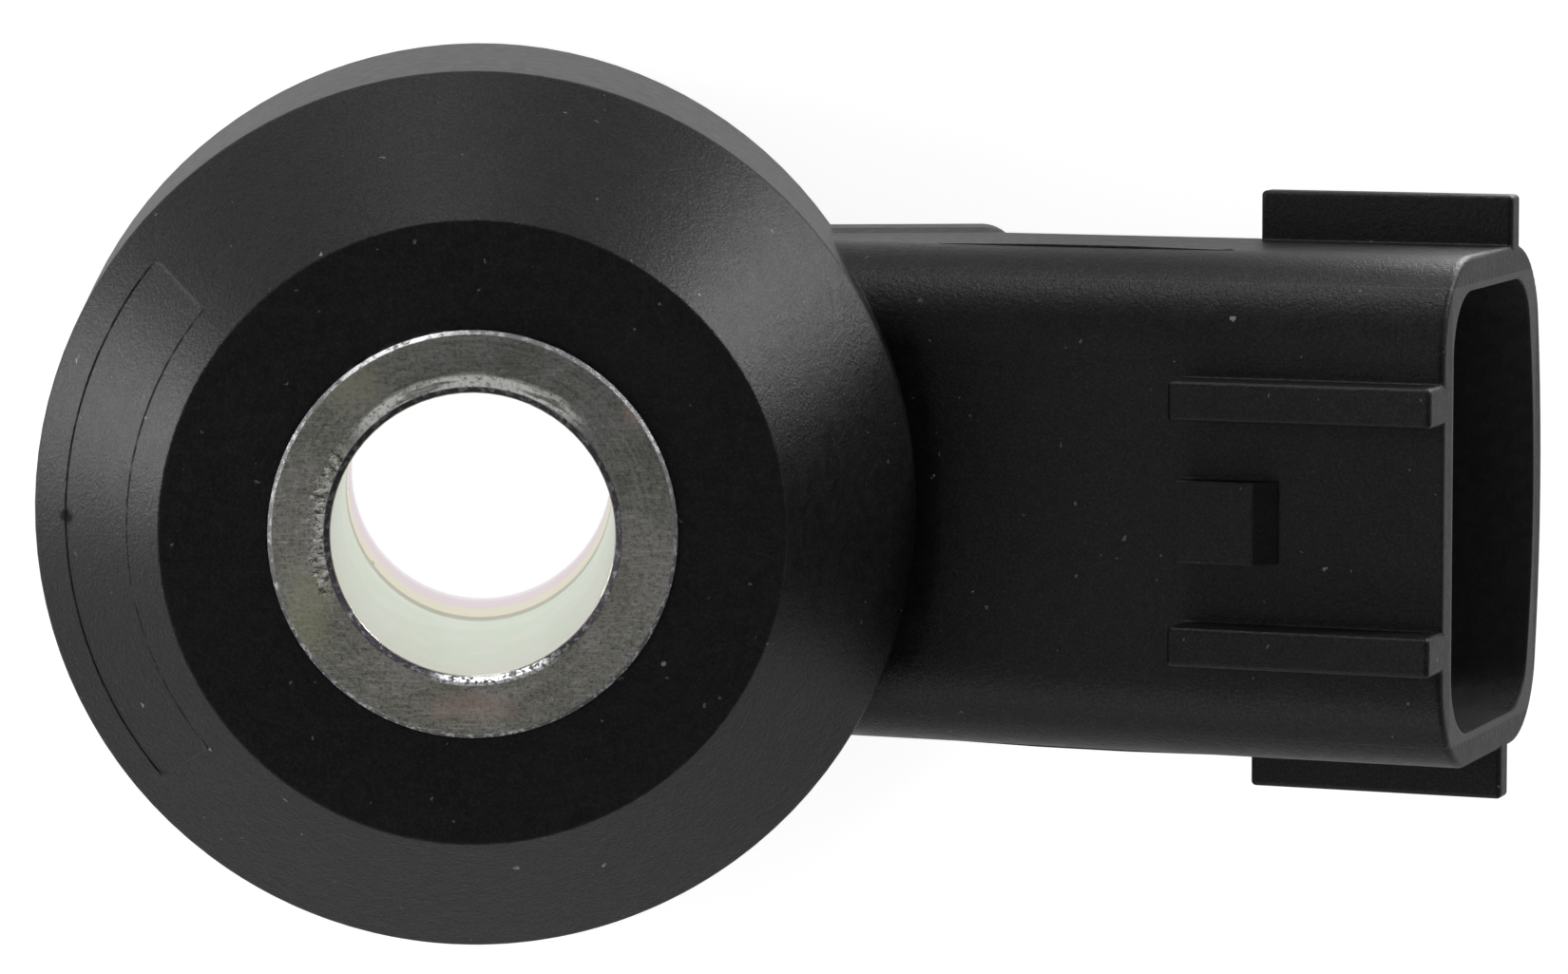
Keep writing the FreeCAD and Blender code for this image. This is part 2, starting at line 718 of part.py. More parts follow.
# Housing: the moulded forms in one piece, less the rooms and everything it is moulded round
shroud = socket_form("shroud_form", "0", "sizes.socket_run + sizes.root_overlap")
soften_mouth(shroud)
stepped = cut("stepped_shroud", shroud, make_rib_recess())
socket_room = socket_form("socket_room", "sizes.socket_wall", "sizes.socket_depth")
moulded = fuse("moulded_form", [make_round_form(), stepped, make_ledge()] + make_socket_trim())
rooms = [make_stack_room(), socket_room, make_underside_cut(), make_panel_cut()]
housing = cut("housing", moulded, fuse("rooms", rooms + electrodes + terminals + [carrier] + resistor))

nodes = [housing, sleeve, carrier] + stack + terminals + resistor

doc.recompute()
for thing in doc.Objects:
    for word in ("Invalid", "Error"):
        if word in thing.State:
            raise RuntimeError("%s is %s" % (thing.Label, word))
for node in nodes:
    shape = node.Shape
    if shape.isNull() or not shape.isValid():
        raise RuntimeError("%s has no valid shape" % node.Label)

os.makedirs("parts", exist_ok=True)
for node in nodes:
    shape = node.Shape
    box = shape.BoundBox
    shape.exportStep(os.path.join("parts", node.Label + ".step"))
    print("%-22s solids %d volume %8.2f  x %6.2f..%6.2f  y %6.2f..%6.2f  z %6.2f..%6.2f" % (
        node.Label, len(shape.Solids), shape.Volume, box.XMin, box.XMax, box.YMin, box.YMax,
        box.ZMin, box.ZMax))
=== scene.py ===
import math
import bpy
from mathutils import Matrix, Vector


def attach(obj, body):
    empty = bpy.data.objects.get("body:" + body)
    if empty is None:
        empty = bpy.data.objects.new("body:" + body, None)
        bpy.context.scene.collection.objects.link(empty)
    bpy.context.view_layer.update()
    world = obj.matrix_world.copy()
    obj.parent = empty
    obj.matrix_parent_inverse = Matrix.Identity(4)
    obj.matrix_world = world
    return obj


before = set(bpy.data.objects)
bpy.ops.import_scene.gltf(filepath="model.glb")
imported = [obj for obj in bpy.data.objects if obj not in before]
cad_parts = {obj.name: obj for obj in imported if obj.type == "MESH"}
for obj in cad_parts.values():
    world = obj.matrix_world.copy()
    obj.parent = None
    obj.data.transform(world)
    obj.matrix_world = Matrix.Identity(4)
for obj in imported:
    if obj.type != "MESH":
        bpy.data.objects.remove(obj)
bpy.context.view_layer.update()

MM = 0.001


# Camera: fitted to the photograph's circles and edges. The focal length is in the photograph's
# pixels, the clip distances are in metres, other lengths in millimetres, and angles in radians
IMAGE_WIDTH = 1650
FOCAL_PIXELS = 6664.0
SENSOR_WIDTH = 36.0
FACE_CENTRE = Vector((0.0, 0.0, 19.0))
FACE_IN_CAMERA = Vector((-9.166, 1.423, 186.5))
TILT_DOWN = 0.106
TILT_ACROSS = -0.033
ROLL = -0.006
CLIP = (0.01, 10.0)


def add_camera():
    tilt_down = Matrix.Rotation(TILT_DOWN, 3, "X")
    tilt_across = Matrix.Rotation(TILT_ACROSS, 3, "Y")
    roll = Matrix.Rotation(ROLL, 3, "Z")
    flip = Matrix.Diagonal(Vector((1.0, -1.0, -1.0)))
    world_to_view = roll @ tilt_across @ tilt_down @ flip
    view_to_world = world_to_view.transposed()
    data = bpy.data.cameras.new("camera")
    data.sensor_fit = "HORIZONTAL"
    data.sensor_width = SENSOR_WIDTH
    data.lens = SENSOR_WIDTH * FOCAL_PIXELS / IMAGE_WIDTH
    data.clip_start, data.clip_end = CLIP
    camera = bpy.data.objects.new("camera", data)
    bpy.context.scene.collection.objects.link(camera)
    place = (FACE_CENTRE - view_to_world @ FACE_IN_CAMERA) * MM
    camera.matrix_world = Matrix.Translation(place) @ (view_to_world @ flip).to_4x4()
    bpy.context.scene.camera = camera


# Rays by which a node finds the edges near a point, and the cosine between the soft and the plain
# normal: a flat has the first or more, a full edge the second or less
BEVEL_SAMPLES = 6
EDGE_COSINES = (0.99, 0.75)


class Nodes:
    """Short calls for building one node tree. Places, radii and depths are in millimetres."""

    def __init__(self, tree):
        self.tree = tree
        self.tree.nodes.clear()

    def add(self, kind, **settings):
        node = self.tree.nodes.new(kind)
        for name, value in settings.items():
            setattr(node, name, value)
        return node

    def put(self, socket, value):
        """Links another node's output to an input, or writes a plain value on it."""
        if isinstance(value, bpy.types.NodeSocket):
            self.tree.links.new(value, socket)
        else:
            socket.default_value = value

    def math(self, operation, first, second=0.0):
        node = self.add("ShaderNodeMath", operation=operation)
        self.put(node.inputs[0], first)
        self.put(node.inputs[1], second)
        return node.outputs[0]

    def times(self, *values):
        """The product of all values."""
        product = values[0]
        for value in values[1:]:
            product = self.math("MULTIPLY", product, value)
        return product

    def span(self, value, low, high, to_low=0.0, to_high=1.0):
        """Maps low..high smoothly to to_low..to_high, and holds the ends."""
        node = self.add("ShaderNodeMapRange", interpolation_type="SMOOTHSTEP")
        for socket, item in zip(node.inputs, (value, low, high, to_low, to_high)):
            self.put(socket, item)
        return node.outputs[0]

    def near(self, value, centre, outer, inner, to_outer=0.0, to_inner=1.0):
        """to_inner within inner of the centre, to_outer beyond outer."""
        away = self.math("ABSOLUTE", self.math("SUBTRACT", value, centre))
        return self.span(away, outer, inner, to_outer, to_inner)

    def blend(self, share, first, second):
        """The first colour where the share is 0, the second where it is 1."""
        node = self.add("ShaderNodeMix", data_type="RGBA", blend_type="MIX", clamp_factor=True)
        self.put(node.inputs[0], share)
        self.put(node.inputs[6], first)
        self.put(node.inputs[7], second)
        return node.outputs[2]

    def noise(self, place, scale, detail, roughness):
        node = self.add("ShaderNodeTexNoise")
        self.put(node.inputs["Vector"], place)
        self.put(node.inputs["Scale"], scale)
        self.put(node.inputs["Detail"], detail)
        self.put(node.inputs["Roughness"], roughness)
        return node.outputs["Fac"]

    def ring_noise(self, radius, angle, scales, detail, roughness):
        """Noise round the bore's axis. scales: outwards, round the axis, and a plain offset."""
        outwards, around, offset = scales
        place = self.join(self.times(radius, outwards), self.times(angle, around), offset)
        return self.noise(place, 1.0, detail, roughness)

    def wobble(self, place, scale, amount):
        """Pushes a place about with smooth noise, by up to half the amount each way."""
        node = self.add("ShaderNodeTexNoise")
        self.put(node.inputs["Vector"], place)
        self.put(node.inputs["Scale"], scale)
        push = self.add("ShaderNodeVectorMath", operation="MULTIPLY_ADD")
        self.put(push.inputs[0], node.outputs["Color"])
        self.put(push.inputs[1], (amount, amount, amount))
        self.put(push.inputs[2], place)
        return push.outputs[0]

    def cells(self, place, scale):
        node = self.add("ShaderNodeTexVoronoi", feature="F1")
        self.put(node.inputs["Vector"], place)
        self.put(node.inputs["Scale"], scale)
        return node.outputs

    def stretch(self, place, scale, turn=(0.0, 0.0, 0.0)):
        node = self.add("ShaderNodeMapping")
        self.put(node.inputs["Vector"], place)
        self.put(node.inputs["Scale"], scale)
        self.put(node.inputs["Rotation"], turn)
        return node.outputs[0]

    def millimetres(self):
        """The object's own place, in millimetres."""
        place = self.add("ShaderNodeTexCoord").outputs["Object"]
        return self.stretch(place, (1.0 / MM, 1.0 / MM, 1.0 / MM))

    def split(self, place):
        node = self.add("ShaderNodeSeparateXYZ")
        self.put(node.inputs[0], place)
        return node.outputs

    def join(self, x, y, z):
        node = self.add("ShaderNodeCombineXYZ")
        for socket, value in zip(node.inputs, (x, y, z)):
            self.put(socket, value)
        return node.outputs[0]

    def around_axis(self, x, y):
        """Radius and angle about the line where x and y are 0: the bore's axis, if not moved."""
        square = self.math("ADD", self.times(x, x), self.times(y, y))
        return self.math("SQRT", square), self.math("ARCTAN2", y, x)

    def opposite_angle(self, x, y):
        """The angle about the bore's axis, from the side opposite the socket."""
        return self.math("ARCTAN2", self.times(y, -1.0), self.times(x, -1.0))

    def bump(self, height, depth, strength, normal):
        node = self.add("ShaderNodeBump")
        self.put(node.inputs["Strength"], strength)
        self.put(node.inputs["Distance"], depth * MM)
        self.put(node.inputs["Height"], height)
        self.put(node.inputs["Normal"], normal)
        return node.outputs[0]

    def soft_edges(self, radius):
        node = self.add("ShaderNodeBevel", samples=BEVEL_SAMPLES)
        self.put(node.inputs["Radius"], radius * MM)
        return node.outputs[0]

    def edge_mask(self, soft_normal):
        """1 along edges, 0 on the flats beside them."""
        flat = self.add("ShaderNodeNewGeometry").outputs["Normal"]
        dot = self.add("ShaderNodeVectorMath", operation="DOT_PRODUCT")
        self.put(dot.inputs[0], soft_normal)
        self.put(dot.inputs[1], flat)
        return self.span(dot.outputs["Value"], *EDGE_COSINES)

    def shader(self, **values):
        node = self.add("ShaderNodeBsdfPrincipled")
        for name, value in values.items():
            self.put(node.inputs[name.replace("_", " ")], value)
        out = self.add("ShaderNodeOutputMaterial")
        self.put(out.inputs[0], node.outputs[0])
        return node


def new_material(name):
    material = bpy.data.materials.new(name)
    material.use_nodes = True
    return material, Nodes(material.node_tree)


def grey(level, warm=0.0):
    return (level * (1.0 + warm), level, level * (1.0 - warm), 1.0)


# The shallow panel in the cone: its two arcs' radii in millimetres, half its angle, and the centre
# (x, y) of a dark blot on the outer arc
PANEL_ARCS = (10.3, 12.35)
PANEL_HALF_ANGLE = math.radians(39.5)
BLOT = (-12.32, 0.1)
# The socket, in millimetres: its mouth's centre (x, z), its axis's run and rise, the half width
# and half thickness of its room, and the least x of that room
SOCKET_MOUTH = (31.2, 12.1)
SOCKET_AXIS = (0.917, 0.399)
SOCKET_HALF = (6.95, 4.85)
SOCKET_FLOOR = 15.0
# The nylon's noises and fibre flecks, in cycles or cells per millimetre
CLOUD_SCALE = 0.35
MOTTLE_SCALE = 2.2
GRIT_SCALE = 6.5
GRAIN_SCALE = 13.0
FLECK_SCALE = 6.5
# Two kinds of dust: cells per millimetre, how many times the material's share of the cells hold a
# crumb, the least and greatest crumb in cells, how well it covers, and how pale it is
DUSTS = (
    (1.7, 1.8, (0.03, 0.09), 0.55, 0.14),
    (0.8, 1.0, (0.025, 0.075), 0.6, 0.3),
)
# Painted shade along the panel's arcs, and the dark blot: their tone and roughness
SHADE_AND_BLOT_TONE = 0.001
SHADE_AND_BLOT_ROUGHNESS = 0.95
NYLON_IOR = 1.5
NYLON_EDGE = 0.13
# Relief of the nylon's grain and of its slower waves: depth in millimetres, and strength
NYLON_GRAIN_RELIEF = (0.035, 0.65)
NYLON_WAVE_RELIEF = (0.05, 0.25)


def specks(n, place, ragged, scale, share, sizes):
    """Scattered crumbs with ragged edges: share is how many cells hold one, sizes are in cells."""
    cells = n.cells(place, scale)
    draw = n.split(cells["Color"])
    chosen = n.span(draw[1], 1.0 - share, 1.0 - share + 0.01)
    size = n.span(draw[2], 0.0, 1.0, sizes[0], sizes[1])
    distance = n.math("ADD", cells["Distance"], ragged)
    return n.times(chosen, n.math("LESS_THAN", distance, size))


def fibre_flecks(n, place):
    """1 where a glass fibre shows."""
    cells = n.cells(n.stretch(place, (1.0, 1.5, 1.0)), FLECK_SCALE)
    chosen = n.span(n.split(cells["Color"])[0], 0.62, 0.72)
    return n.times(n.span(cells["Distance"], 0.2, 0.08), chosen)


def dusted(n, tone, place, grain, dust_share):
    ragged = n.times(n.math("SUBTRACT", grain, 0.5), 0.15)
    bent = n.wobble(place, 5.0, 0.3)
    for scale, share, sizes, cover, level in DUSTS:
        crumbs = specks(n, bent, ragged, scale, dust_share * share, sizes)
        tone = n.blend(n.times(crumbs, cover), tone, grey(level))
    return tone


def in_socket(n, x, y, z):
    """1 inside the socket, 0 elsewhere."""
    run, rise = SOCKET_AXIS
    across = n.math("ADD", n.times(n.math("SUBTRACT", x, SOCKET_MOUTH[0]), -rise),
                    n.times(n.math("SUBTRACT", z, SOCKET_MOUTH[1]), run))
    return n.times(n.math("LESS_THAN", n.math("ABSOLUTE", across), SOCKET_HALF[1]),
                   n.math("LESS_THAN", n.math("ABSOLUTE", y), SOCKET_HALF[0]),
                   n.math("GREATER_THAN", x, SOCKET_FLOOR))


def panel_shade_and_blot(n, x, y, mottle, grit):
    """Masks: painted shade along each arc where the panel steps down, and a dark blot."""
    radius, _ = n.around_axis(x, y)
    side = n.math("ABSOLUTE", n.opposite_angle(x, y))
    on_panel = n.math("LESS_THAN", side, PANEL_HALF_ANGLE)
    uneven = n.span(mottle, 0.38, 0.58, 0.3, 0.85)
    masks = [n.times(n.near(radius, arc, 0.05, 0.015), on_panel, uneven) for arc in PANEL_ARCS]
    away, _ = n.around_axis(n.math("SUBTRACT", x, BLOT[0]), n.math("SUBTRACT", y, BLOT[1]))
    masks.append(n.span(n.math("ADD", away, n.times(grit, 0.3)), 0.5, 0.25, 0.0, 0.85))
    return masks


def nylon(name, base, dust_share):
    """Black glass-filled nylon: fine moulded grain, faint fibre flecks, dust, and lighter edges
    that are partly scuffed and partly painted highlight.
    """
    material, n = new_material(name)
    place = n.millimetres()
    x, y, z = n.split(place)
    cloud = n.noise(place, CLOUD_SCALE, 4.0, 0.6)
    mottle = n.noise(place, MOTTLE_SCALE, 5.0, 0.7)
    grit = n.noise(place, GRIT_SCALE, 2.0, 0.65)
    grain = n.noise(place, GRAIN_SCALE, 3.0, 0.75)

    tone = n.blend(n.span(mottle, 0.35, 0.7), grey(base * 0.8), grey(base * 1.35))
    tone = n.blend(n.span(cloud, 0.45, 0.75, 0.0, 0.5), tone, grey(base * 1.6))
    tone = n.blend(n.span(grain, 0.52, 0.72, 0.0, 0.6), tone, grey(base * 2.6))
    tone = n.blend(n.times(fibre_flecks(n, place), 0.55), tone, grey(base * 6.0, 0.02))
    tone = dusted(n, tone, place, grain, dust_share)
    # the socket's inside is a lighter grey
    socket_grey = n.blend(n.span(mottle, 0.3, 0.7), grey(0.028), grey(0.040))
    tone = n.blend(in_socket(n, x, y, z), tone, socket_grey)
    soft = n.soft_edges(NYLON_EDGE)
    # lighter along the edges: partly scuffing, partly a painted highlight
    edge = n.times(n.edge_mask(soft), n.span(mottle, 0.3, 0.65, 0.2, 1.0), 0.4)
    tone = n.blend(edge, tone, grey(0.09))
    rough = n.math("ADD", n.span(mottle, 0.3, 0.7, 0.33, 0.40), n.times(grain, 0.08))
    # painted shade along the panel's arcs, and the dark blot
    for shade_and_blot in panel_shade_and_blot(n, x, y, mottle, grit):
        tone = n.blend(shade_and_blot, tone, grey(SHADE_AND_BLOT_TONE))
        rough = n.span(shade_and_blot, 0.0, 1.0, rough, SHADE_AND_BLOT_ROUGHNESS)

    relief = n.math("ADD", n.times(grit, 0.65), n.times(grain, 0.35))
    normal = n.bump(relief, *NYLON_GRAIN_RELIEF, soft)
    normal = n.bump(n.math("ADD", mottle, cloud), *NYLON_WAVE_RELIEF, normal)
    gloss = n.span(grain, 0.35, 0.65, 0.12, 0.21)
    node = n.shader(Base_Color=tone, Roughness=rough, Normal=normal, Specular_IOR_Level=gloss)
    node.inputs["IOR"].default_value = NYLON_IOR
    return material


# The sleeve's wall and chamfers: the radius where each begins to show, and where it shows fully
BORE_WALL = (4.24, 4.21)
INNER_CHAMFER = (4.42, 4.37)
OUTER_CHAMFER = (5.9, 5.96)
SLEEVE_EDGE = 0.06
# Rub marks cross the sleeve's face along these two directions, in radians
STROKE_TURNS = (0.6, -0.9)
# Stains on the sleeve's face: centre, half width and half height in millimetres, and colour
STAINS = (
    ((0.0, -5.1), (1.5, 0.5), (0.42, 0.29, 0.26, 1.0)),
    ((5.0, 3.6), (0.6, 0.5), (0.46, 0.30, 0.26, 1.0)),
    ((-3.6, 4.4), (1.2, 0.8), (0.31, 0.31, 0.21, 1.0)),
    ((-4.9, -2.2), (0.8, 1.5), (0.38, 0.38, 0.24, 1.0)),
)
# Colours of the plating along the bore: the height where each begins and where it is full, in
# millimetres, how full it gets, and the colour
PLATING_BANDS = (
    (16.5, 18.6, 0.35, (0.66, 0.55, 0.52, 1.0)),
    (5.65, 5.45, 1.0, (0.72, 0.67, 0.47, 1.0)),
    (3.7, 2.4, 1.0, (0.70, 0.58, 0.62, 1.0)),
    (1.4, 0.3, 1.0, (0.80, 0.76, 0.77, 1.0)),
)
# Relief of the turning rings, the washer's dents and the grain: depth in millimetres, and strength
RING_RELIEF = (0.02, 0.4)
DENT_RELIEF = (0.04, 0.7)
GRAIN_RELIEF = (0.035, 0.7)


class SleeveSurface:
    """Where a point of the sleeve lies, and the noises that several of its layers share."""

    def __init__(self, n):
        self.place = n.millimetres()
        self.x, self.y, self.z = n.split(self.place)
        self.radius, self.angle = n.around_axis(self.x, self.y)
        # circular lay: it changes quickly outwards and slowly round the face
        self.lay = n.ring_noise(self.radius, self.angle, (9.0, 1.3, 0.0), 5.0, 0.75)
        self.fine_lay = n.ring_noise(self.radius, self.angle, (34.0, 2.5, 3.0), 2.0, 0.6)
        self.grain = n.noise(self.place, 7.0, 4.0, 0.75)
        self.patches = n.noise(self.place, 0.55, 4.0, 0.6)
        self.small = n.noise(self.place, 3.2, 4.0, 0.7)


def face_tone(n, at):
    """Worn zinc on the end faces: patches, lay, grain, rub marks, a darker far side and stains."""
    pits = n.noise(at.place, 12.0, 2.0, 0.7)
    tone = n.blend(n.span(at.patches, 0.38, 0.62),
                   (0.19, 0.19, 0.155, 1.0), (0.29, 0.285, 0.26, 1.0))
    tone = n.blend(n.span(at.lay, 0.4, 0.68, 0.0, 0.4), tone, (0.40, 0.39, 0.36, 1.0))
    tone = n.blend(n.span(at.grain, 0.47, 0.64, 0.0, 0.6), tone, (0.06, 0.06, 0.05, 1.0))
    tone = n.blend(n.span(pits, 0.54, 0.68, 0.0, 0.35), tone, (0.46, 0.45, 0.42, 1.0))
    tone = n.blend(n.span(at.small, 0.56, 0.68, 0.0, 0.4), tone, (0.44, 0.44, 0.42, 1.0))
    for turn in STROKE_TURNS:
        along = n.stretch(at.place, (0.7, 6.0, 1.0), (0.0, 0.0, turn))
        strokes = n.noise(along, 2.6, 3.0, 0.65)
        tone = n.blend(n.span(strokes, 0.58, 0.68, 0.0, 0.4), tone, (0.50, 0.49, 0.46, 1.0))
        tone = n.blend(n.span(strokes, 0.40, 0.32, 0.0, 0.4), tone, (0.08, 0.08, 0.08, 1.0))
    # darker towards the far side, where the arcs of the lay show
    darker_far_side = n.times(n.near(at.angle, 1.3, 1.75, 0.4, 0.1, 0.62), n.span(at.lay, 0.3, 0.6, 1.0, 0.7))
    tone = n.blend(darker_far_side, tone, (0.06, 0.062, 0.066, 1.0))
    for centre, size, colour in STAINS:
        spread, _ = n.around_axis(n.math("DIVIDE", n.math("SUBTRACT", at.x, centre[0]), size[0]),
                                  n.math("DIVIDE", n.math("SUBTRACT", at.y, centre[1]), size[1]))
        spread = n.math("ADD", spread, n.times(at.small, 1.8))
        tone = n.blend(n.span(spread, 2.1, 1.3, 0.0, 0.38), tone, colour)
    return tone


def washer_rub(n, at):
    """1 where the bolt's washer has rubbed the face bright, beside the inner edge."""
    arcs = n.ring_noise(at.radius, at.angle, (5.0, 2.4, 7.0), 3.0, 0.6)
    reach = n.math("ADD", at.radius, n.times(arcs, 0.5))
    broken = n.math("ADD", at.grain, n.times(at.small, 0.5))
    return n.times(n.near(at.angle, 1.62, 0.95, 0.6), n.span(reach, 5.1, 4.85),
                   n.span(arcs, 0.62, 0.5, 0.2, 1.0), n.span(broken, 0.72, 0.88, 1.0, 0.35))


def washer_dents(n, at):
    """Uneven dents that the washer has pressed into the inner edge: -1 is deep, 1 is raised."""
    dents = n.ring_noise(at.radius, at.angle, (2.4, 21.0, 0.0), 3.0, 0.7)
    reach = n.span(at.small, 0.35, 0.65, 4.5, 4.95)
    within = n.span(n.math("SUBTRACT", at.radius, reach), 0.06, -0.06)
    side = n.near(n.opposite_angle(at.x, at.y), -0.1, 0.66, 0.35)
    return n.times(n.span(dents, 0.36, 0.64, -1.0, 1.0), within,
                   n.span(at.radius, 4.36, 4.42), side)


def worn_chamfers(n, at, tone):
    """The two chamfers: dull and dark, with broken bright wear that is paler on the near side as
    painted reflection, and one painted glint.
    """
    worn = n.span(n.noise(at.place, 4.5, 4.0, 0.75), 0.5, 0.6)
    inner = n.blend(worn, (0.045, 0.04, 0.05, 1.0), (0.16, 0.16, 0.17, 1.0))
    tone = n.blend(n.span(at.radius, *INNER_CHAMFER), tone, inner)
    # the outer chamfer's wear is paler on the near side: painted reflection
    near_side = n.near(at.angle, -1.57, 1.9, 1.0)
    rim_wear_and_reflection = n.blend(near_side, (0.34, 0.34, 0.35, 1.0), (0.55, 0.55, 0.57, 1.0))
    on_outer = n.span(at.radius, *OUTER_CHAMFER)
    tone = n.blend(on_outer, tone, n.blend(worn, (0.15, 0.15, 0.155, 1.0), rim_wear_and_reflection))
    # a painted glint on the outer chamfer, at the top left
    glint = n.times(n.near(at.angle, 1.98, 0.42, 0.15), n.span(at.small, 0.4, 0.55))
    return n.blend(n.times(on_outer, glint), tone, (0.85, 0.85, 0.85, 1.0))


def bore_plating(n, at):
    """Zinc plating in the bore: pale green, then a brown line, a straw band and a pink far end."""
    plated = n.blend(n.span(at.patches, 0.42, 0.6),
                     (0.60, 0.70, 0.53, 1.0), (0.66, 0.71, 0.59, 1.0))
    for begin, full, share, colour in PLATING_BANDS:
        plated = n.blend(n.span(at.z, begin, full, 0.0, share), plated, colour)
    line = n.near(at.z, 5.55, 0.6, 0.42)
    plated = n.blend(n.times(line, 0.8), plated, (0.28, 0.24, 0.12, 1.0))
    cream = n.times(n.span(at.small, 0.46, 0.62), n.span(at.z, 9.0, 14.0))
    plated = n.blend(n.times(cream, 0.4), plated, (0.74, 0.64, 0.56, 1.0))
    pin_holes = specks(n, n.stretch(at.place, (1.0, 1.0, 0.2)), 0.0, 0.9, 0.4, (0.03, 0.075))
    return n.blend(n.times(pin_holes, 0.75), plated, (0.16, 0.17, 0.14, 1.0))


def sleeve_steel(name):
    """Turned and zinc-plated steel: circular lay on the end faces, a paler plated bore."""
    material, n = new_material(name)
    at = SleeveSurface(n)
    in_bore = n.span(at.radius, *BORE_WALL)
    # a polished streak on the inner edge: its low roughness is polish, its pale tone a painted
    # highlight
    polish_and_highlight = n.times(n.near(at.angle, -1.42, 0.5, 0.3), n.span(at.radius, 4.5, 4.45),
                     n.span(at.grain, 0.44, 0.52))
    dents = washer_dents(n, at)

    tone = face_tone(n, at)
    tone = n.blend(n.times(washer_rub(n, at), 0.85), tone, (0.86, 0.87, 0.82, 1.0))
    tone = worn_chamfers(n, at, tone)
    # painted highlight in the streak's pale tone
    tone = n.blend(polish_and_highlight, tone, (0.92, 0.93, 0.96, 1.0))
    tone = n.blend(in_bore, tone, bore_plating(n, at))
    # painted highlight on the raised dents and painted shade in the deep ones
    tone = n.blend(n.span(dents, 0.2, 0.7, 0.0, 0.6), tone, (0.56, 0.56, 0.53, 1.0))
    tone = n.blend(n.span(dents, -0.2, -0.7, 0.0, 0.85), tone, (0.05, 0.05, 0.05, 1.0))

    rough = n.math("ADD", n.span(at.lay, 0.3, 0.7, 0.42, 0.54), n.times(at.grain, 0.12))
    bore_rough = n.math("ADD", n.times(at.small, 0.12), 0.26)
    rough = n.span(in_bore, 0.0, 1.0, rough, bore_rough)
    rough = n.span(polish_and_highlight, 0.0, 1.0, rough, 0.3)

    flat_only = n.math("SUBTRACT", 1.0, in_bore)
    rings = n.math("ADD", n.times(at.lay, 0.6), n.times(at.fine_lay, 0.4))
    normal = n.bump(n.times(rings, flat_only), *RING_RELIEF, n.soft_edges(SLEEVE_EDGE))
    normal = n.bump(dents, *DENT_RELIEF, normal)
    normal = n.bump(n.times(at.grain, flat_only), *GRAIN_RELIEF, normal)
    n.shader(Base_Color=tone, Metallic=1.0, Roughness=rough, Normal=normal)
    return material


# The metals inside: material, nodes, dark and light tone, least and greatest roughness, and the
# scale and stretch of the working marks
METALS = (
    ("tinned", ("terminal_left", "terminal_right", "resistor_cap_left", "resistor_cap_right",
                "resistor_lead_left", "resistor_lead_right"),
     (0.52, 0.50, 0.46, 1.0), (0.74, 0.73, 0.70, 1.0), (0.25, 0.42), 4.0, (0.4, 3.0, 1.0)),
    ("rolled_brass", ("lower_electrode", "upper_electrode"),
     (0.56, 0.40, 0.17, 1.0), (0.78, 0.60, 0.30, 1.0), (0.28, 0.45), 3.0, (0.3, 3.0, 1.0)),
    ("turned_steel", ("seismic_mass", "ring_nut"),
     (0.34, 0.34, 0.34, 1.0), (0.56, 0.56, 0.55, 1.0), (0.3, 0.5), 2.5, (0.5, 0.5, 5.0)),
    ("spring_steel", ("disc_spring",),
     (0.14, 0.14, 0.16, 1.0), (0.28, 0.27, 0.28, 1.0), (0.35, 0.5), 3.0, (1.0, 1.0, 1.0)),
)
# The other solids inside: material, nodes, dark and light tone, least and greatest roughness, the
# mottle's scale, and the weight of a clear coat
SOLIDS = (
    ("amber_film", ("insulating_tube", "lower_insulator", "upper_insulator"),
     (0.46, 0.26, 0.07, 1.0), (0.62, 0.40, 0.14, 1.0), (0.3, 0.42), 2.0, 0.0),
    ("fired_ceramic", ("piezo_ring",),
     (0.60, 0.55, 0.44, 1.0), (0.74, 0.70, 0.60, 1.0), (0.5, 0.65), 1.6, 0.0),
    ("resistor_lacquer", ("resistor_body",),
     (0.20, 0.27, 0.27, 1.0), (0.32, 0.40, 0.38, 1.0), (0.25, 0.35), 3.0, 0.6),
)
INNER_EDGE = 0.05
# Relief of the working marks and of the other solids: depth in millimetres, and strength
MARKS_RELIEF = (0.01, 0.5)
FINE_RELIEF = (0.008, 0.4)


def metal(name, dark, light, roughness, scale, along):
    """Worked metal: tone, roughness and fine scratches from stretched noise."""
    material, n = new_material(name)
    place = n.millimetres()
    marks = n.noise(n.stretch(place, along), scale, 4.0, 0.7)
    cloud = n.noise(place, 0.6, 3.0, 0.6)
    tone = n.blend(n.span(marks, 0.3, 0.7), dark, light)
    tone = n.blend(n.span(cloud, 0.45, 0.7, 0.0, 0.4), tone, dark)
    rough = n.span(marks, 0.3, 0.7, *roughness)
    normal = n.bump(marks, *MARKS_RELIEF, n.soft_edges(INNER_EDGE))
    n.shader(Base_Color=tone, Metallic=1.0, Roughness=rough, Normal=normal)
    return material


def smooth_solid(name, dark, light, roughness, scale, coat):
    """Film, ceramic or lacquer: mottled tone with a fine surface."""
    material, n = new_material(name)
    place = n.millimetres()
    mottle = n.noise(place, scale, 5.0, 0.65)
    fine = n.noise(place, scale * 6.0, 2.0, 0.6)
    tone = n.blend(n.span(mottle, 0.3, 0.7), dark, light)
    rough = n.span(mottle, 0.3, 0.7, *roughness)
    normal = n.bump(fine, *FINE_RELIEF, n.soft_edges(INNER_EDGE))
    node = n.shader(Base_Color=tone, Roughness=rough, Normal=normal)
    node.inputs["Coat Weight"].default_value = coat
    return material


def dress(names, material):
    for name in names:
        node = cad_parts[name]
        node.data.materials.clear()
        node.data.materials.append(material)


